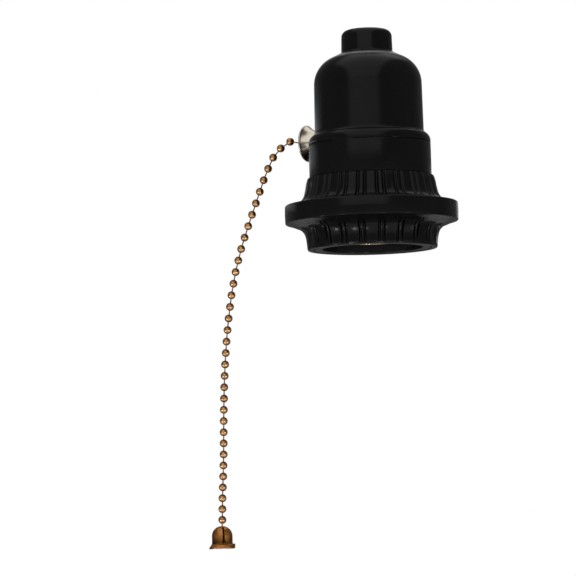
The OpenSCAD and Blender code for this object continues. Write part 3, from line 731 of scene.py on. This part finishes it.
def make_ring():
    """Shade ring: wide flutes and narrow ribs above and below a thick flange."""
    per_flute, samples = 44, 26
    angles = FLUTE_PHASE + np.arange(FLUTES * per_flute) / per_flute * 2 * math.pi / FLUTES
    off = np.degrees((angles - FLUTE_PHASE + math.pi / FLUTES) % (2 * math.pi / FLUTES) - math.pi / FLUTES)
    upper = bulge(np.abs(off), 4.05, 6.2, 1.0)
    lower = bulge(np.abs(off), 5.3, 7.1, 0.5)
    hollow_upper = 0.1 * np.clip(1 - (off / 3.1) ** 2, 0, 1)
    hollow_lower = 0.2 * np.clip(1 - (off / 5.0) ** 2, 0, 1)
    zones = []
    for crest, valley, share, hollow in ((UPPER_CREST, UPPER_VALLEY, upper, hollow_upper),
                                         (LOWER_CREST, LOWER_VALLEY, lower, hollow_lower)):
        top, low = smooth_line(crest, samples), smooth_line(valley, samples)
        zone = top[None] * (1 - share[:, None, None]) + low[None] * share[:, None, None]
        zone[:, :, 0] -= hollow[:, None] * np.clip(np.linspace(0.3, 1.6, samples), 0, 1)[None] \
            * np.clip(np.linspace(4, 0, samples), 0, 1)[None]
        zones.append(zone)
    flange = rounded([(27.3, -57.43), (28.3, -57.45, 0.9), (28.38, -60.5, 3), (28.3, -63.44, 0.6),
                      (27.75, -63.48)], closed=False, steps=5)
    base = rounded([(21.25, -71.75), (21.15, MOUTH_Z, 0.35),
                    (RING_BORE_R, MOUTH_Z, 0.3), (RING_BORE_R, -71)], closed=False)
    bore = [(RING_BORE_R, z) for z in np.linspace(-68, -52, 5)]
    bore += rounded([(RING_BORE_R, -50), (RING_BORE_R, RING_Z, 0.25),
                     (20.2, RING_Z, 0.2), (20.35, -48.7)], closed=False)

    def fixed(points):
        return np.broadcast_to(np.array(points, float)[None], (len(angles), len(points), 2))

    grid = np.concatenate([zones[0], fixed(flange), zones[1], fixed(base), fixed(bore)], axis=1)
    r, z = grid[:, :, 0], grid[:, :, 1]
    verts = np.stack([r * np.cos(angles)[:, None], r * np.sin(angles)[:, None], z], axis=-1).reshape(-1, 3)
    obj = new_object("fluted_ring", verts, grid_faces(len(angles), grid.shape[1], True, True), 50)
    return finish_piece(obj, "shade_ring", "black_phenolic", "shade_ring", materials=(RING_BLACK,))


make_cap()
make_skirt()
make_ring()


# ---------------------------------------------------------------- metal parts

MOUTH_X = -23.7
FLARE_R = 6.1
GUIDE_BORE_R = 1.75


def bell_mouth(start, end, count=12):
    """An outline that opens gently from start to end."""
    t = np.linspace(0, 1, count)
    return [(start[0] + (end[0] - start[0]) * s ** 1.6, start[1] + (end[1] - start[1]) * s) for s in t]


def make_guide():
    """Turned guide with its bell mouth; its threaded tail holds it in the bracket."""
    lip = 0.3
    edge = (FLARE_R - lip, -MOUTH_X - lip)
    pitch, depth = 0.75, 0.3

    def thread(a, r, h):
        wave = 0.5 - 0.5 * np.cos(2 * math.pi * (h / pitch - a / (2 * math.pi)))
        return np.where((h < 14.05) & (r > 3), r - depth * wave, r), h

    tail = [(GUIDE_BORE_R, 12.3), (2.9, 12.2)] + [(3.15, h) for h in np.arange(12.4, 14.0, 0.09)]
    outside = rounded([(3.15, 14.1), (3.15, 14.2), (BARREL_R, 14.2, 0.2), (BARREL_R, 19.4)], closed=False)
    outside += bell_mouth((BARREL_R, 19.45), (edge[0], edge[1] - 0.4))
    inside = bell_mouth((GUIDE_BORE_R, 18.5), (edge[0] - 0.4, edge[1] + 0.2))[::-1]
    outline = tail + outside + arc(edge, lip, -50, 130, 8) + inside + [(GUIDE_BORE_R, 15)]
    verts, faces = turned(outline, 96, shape=thread)
    obj = new_object("chain_guide_turned", placed(verts, (-1, 0, 0), (0, 0, GUIDE_Z)), faces, 40)
    return finish_piece(obj, "holder", "nickel", "chain_guide", materials=(NICKEL,))


def make_screw_shell():
    """Rolled screw shell: its wall follows the lamp's round thread, with a plain part above it."""
    low, high = box_mm("screw_shell")
    pitch, wall = 3.63, 0.4
    thread_r, plain_r, step_z = 13.25, 12.6, low.z + 16

    def thread(a, r, z):
        fade = np.clip((z - low.z - 1.2) / 1.5, 0, 1) * np.clip((step_z - 0.4 - z) / 1.5, 0, 1)
        wave = 0.5 - 0.5 * np.cos(2 * math.pi * (z / pitch - a / (2 * math.pi)))
        return np.where(r > 13, r - 0.9 * fade * wave, r), z

    heights = list(np.arange(low.z + 0.6, step_z - 0.4, 0.3))
    outside = [(thread_r + wall, z) for z in heights]
    outside += rounded([(thread_r + wall, step_z - 0.3), (thread_r + wall, step_z + wall, 0.4),
                        (plain_r + wall, step_z + wall, 0.3), (plain_r + wall, high.z, 0.5), (6.6, high.z)],
                       closed=False)
    inside = rounded([(6.6, high.z - wall), (plain_r, high.z - wall, 0.3), (plain_r, step_z, 0.5),
                      (thread_r, step_z, 0.2), (thread_r, step_z - 0.35)], closed=False)
    inside += [(thread_r, z) for z in heights[::-1]]
    lip = arc((thread_r + 0.2, low.z + 0.25), 0.2, 180, 360, 5)
    obj = new_object("rolled_shell", *turned(outside + inside + lip, 144, shape=thread), 50)
    return finish_piece(obj, "holder", "shell_brass", "screw_shell", materials=(SHELL_BRASS,))


def make_bush():
    """Steel bush in the neck with the fine thread of the pipe entry."""
    pitch, depth = 1.0, 0.5
    flange_z = -NECK_H - 2.3

    def thread(a, r, z):
        wave = 0.5 - 0.5 * np.cos(2 * math.pi * (z / pitch - a / (2 * math.pi)))
        fade = np.clip(-z / 0.6, 0, 1) * np.clip((z - flange_z + 1) / 0.6, 0, 1)
        return np.where(r < 4.9, r + depth * fade * wave, r), z

    bore = [(4.55, z) for z in np.arange(flange_z - 0.7, -0.3, 0.1)]
    outline = rounded([(6.15, -0.02, 0.15), (6.15, flange_z), (7.3, flange_z, 0.2), (7.3, flange_z - 1, 0.2),
                       (4.8, flange_z - 1, 0.2)], closed=False) + bore + [(4.75, -0.1), (4.95, -0.02)]
    obj = new_object("pipe_bush", *turned(outline, 128, shape=thread), 40)
    return finish_piece(obj, "holder", "plated_steel", "nipple_bush", materials=(STEEL,))


make_guide()
make_screw_shell()
make_bush()

CAD_FINISH = {
    "porcelain": PORCELAIN, "brass": BRASS, "plated_steel": STEEL, "spring_steel": SPRING,
    "brown_phenolic": BROWN, "nylon": NYLON, "antique_brass": BEAD_BRASS, "shell_brass": SHELL_BRASS,
    "nickel": NICKEL, "black_phenolic": BLACK, "bell_brass": BELL_BRASS,
}


def finish_cad_nodes():
    """Gives every CAD node that still shows the material of its record slot."""
    slots = {part["node"]: part["material_slot"] for part in frame["record"]["subparts"]}
    for name, node in frame["nodes"].items():
        node.data.materials.clear()
        node.data.materials.append(CAD_FINISH[slots[name]])


finish_cad_nodes()


# ---------------------------------------------------------------- floor and light

FLOOR_Z = -0.5
FLOOR_R = 2.0


def make_floor():
    """A plain pale round floor well below the hanging bell."""
    n = Nodes("floor")
    n.join(n.ramp(n.noise(3, 2), [(0.3, (0.86, 0.86, 0.86)), (0.7, (0.9, 0.9, 0.9))]),
           n.shader.inputs["Base Color"])
    n.shader.inputs["Roughness"].default_value = 0.9
    outline = [(0, 0), (FLOOR_R / MM, 0), (FLOOR_R / MM, -20), (0, -20)]
    floor = new_object("floor", *turned(outline, 128, closed=False))
    floor.location.z = FLOOR_Z
    floor.data.materials.append(n.material)
    floor.visible_glossy = False


def make_world():
    """White behind the object, and for its reflections a dim room with one tall soft window.

    The window stands in front and to the left, reaches over the top and ends high up behind.
    Below the horizon the floor shines in front, and a narrow strip of it behind.
    """
    world = bpy.data.worlds.new("studio")
    bpy.context.scene.world = world
    world.use_nodes = True
    tree = world.node_tree
    tree.nodes.clear()
    place = tree.nodes.new("ShaderNodeTexCoord").outputs["Generated"]

    def along(axis):
        node = tree.nodes.new("ShaderNodeVectorMath")
        node.operation = "DOT_PRODUCT"
        tree.links.new(place, node.inputs[0])
        node.inputs[1].default_value = axis
        return node.outputs["Value"]

    def calc(operation, *values):
        node = tree.nodes.new("ShaderNodeMath")
        node.operation = operation
        for socket, value in zip(node.inputs, values):
            if isinstance(value, (int, float)):
                socket.default_value = value
            else:
                tree.links.new(value, socket)
        return node.outputs[0]

    def step(value, start, end, low=0.0, high=1.0):
        node = tree.nodes.new("ShaderNodeMapRange")
        node.interpolation_type = "SMOOTHSTEP"
        tree.links.new(value, node.inputs["Value"])
        for key, number in (("From Min", start), ("From Max", end), ("To Min", low), ("To Max", high)):
            node.inputs[key].default_value = number
        return node.outputs[0]

    sin_a, cos_a = math.sin(CAMERA_AZIMUTH), math.cos(CAMERA_AZIMUTH)
    side, front, up = along((cos_a, sin_a, 0)), along((sin_a, -cos_a, 0)), along((0, 0, 1))
    left = step(calc("MULTIPLY_ADD", up, -0.03, side), -0.74, -0.6)
    right = step(calc("MULTIPLY_ADD", up, -0.12, side), 0.28, 0.44, 1, 0)
    reach = step(calc("MULTIPLY_ADD", calc("MINIMUM", side, 0.0), 0.8, front), -0.85, -0.6)
    glow = calc("MULTIPLY", step(front, -0.5, -0.1, 0.8, 0.72), step(up, 0.09, 0.18, 0.1, 1))
    window = calc("MULTIPLY", calc("MULTIPLY", left, right), calc("MULTIPLY", reach, glow))
    middle = step(calc("ABSOLUTE", side), 0.2, 0.3, 1, 0)
    band = calc("MULTIPLY", step(up, 0.09, 0.15), step(up, 0.42, 0.55, 0.4, 0.12))
    back = calc("MULTIPLY", calc("MULTIPLY", middle, band), step(front, -0.8, -0.6, 1, 0))
    room = step(front, -0.4, 0.1, ROOM_BEHIND, ROOM_FRONT)
    above = calc("MAXIMUM", calc("MAXIMUM", window, back), room)
    low = calc("MULTIPLY", step(up, -0.75, -0.6), step(up, -0.38, -0.26, 0.4, 0.02))
    low = calc("MULTIPLY", low, step(front, -0.55, -0.35, 1, 0))
    low = calc("MULTIPLY", low, step(calc("ABSOLUTE", side), 0.25, 0.45, 1, 0.06))
    below = calc("MAXIMUM", low, step(front, -0.2, 0.3, 0.1, 0.6))
    share = step(up, -0.12, -0.02)
    strength = calc("MULTIPLY_ADD", calc("SUBTRACT", above, below), share, below)
    path = tree.nodes.new("ShaderNodeLightPath")
    white, lit = (tree.nodes.new("ShaderNodeBackground") for _ in range(2))
    white.inputs[0].default_value, white.inputs[1].default_value = (1, 1, 1, 1), 1.0
    lit.inputs[0].default_value = (1, 1, 1, 1)
    tree.links.new(strength, lit.inputs[1])
    mix = tree.nodes.new("ShaderNodeMixShader")
    out = tree.nodes.new("ShaderNodeOutputWorld")
    tree.links.new(path.outputs["Is Camera Ray"], mix.inputs[0])
    tree.links.new(lit.outputs[0], mix.inputs[1])
    tree.links.new(white.outputs[0], mix.inputs[2])
    tree.links.new(mix.outputs[0], out.inputs[0])


ROOM_FRONT, ROOM_BEHIND = 0.2, 0.12
LIGHT_TARGET = Vector((-0.01, 0, -0.06))


def softbox(name, turn, height, distance, width, tall, radiance, colour=(1, 1, 1), mirrored=True):
    """A soft panel; turn is its direction right of the camera's, height its elevation, in degrees."""
    a, e = CAMERA_AZIMUTH + math.radians(turn), math.radians(height)
    out = Vector((math.sin(a) * math.cos(e), -math.cos(a) * math.cos(e), math.sin(e)))
    data = bpy.data.lights.new(name, "AREA")
    data.shape = "RECTANGLE"
    data.size, data.size_y = width, tall
    data.energy = radiance * math.pi * width * tall
    data.color = colour
    lamp = bpy.data.objects.new(name, data)
    bpy.context.scene.collection.objects.link(lamp)
    lamp.location = LIGHT_TARGET + out * distance
    lamp.rotation_mode = "QUATERNION"
    lamp.rotation_quaternion = out.to_track_quat("Z", "Y")
    lamp.visible_camera = False
    lamp.visible_glossy = mirrored
    return lamp


make_floor()
make_world()
softbox("floor_fill", 180, 60, 1.3, 1.4, 1.4, 1.0, mirrored=False)
for low_turn in (-72, -38, 16, 52):
    softbox("low_light", low_turn, -29, 0.6, 0.05, 0.13, 13.0, (1, 0.96, 0.94))
softbox("left_card", -145, 11.5, 0.3, 0.3, 0.035, 0.45, (0.85, 0.93, 1))
softbox("right_card", 160, 5, 0.3, 0.12, 0.035, 0.5, (0.9, 0.95, 1))
bpy.context.scene.view_settings.view_transform = "Standard"
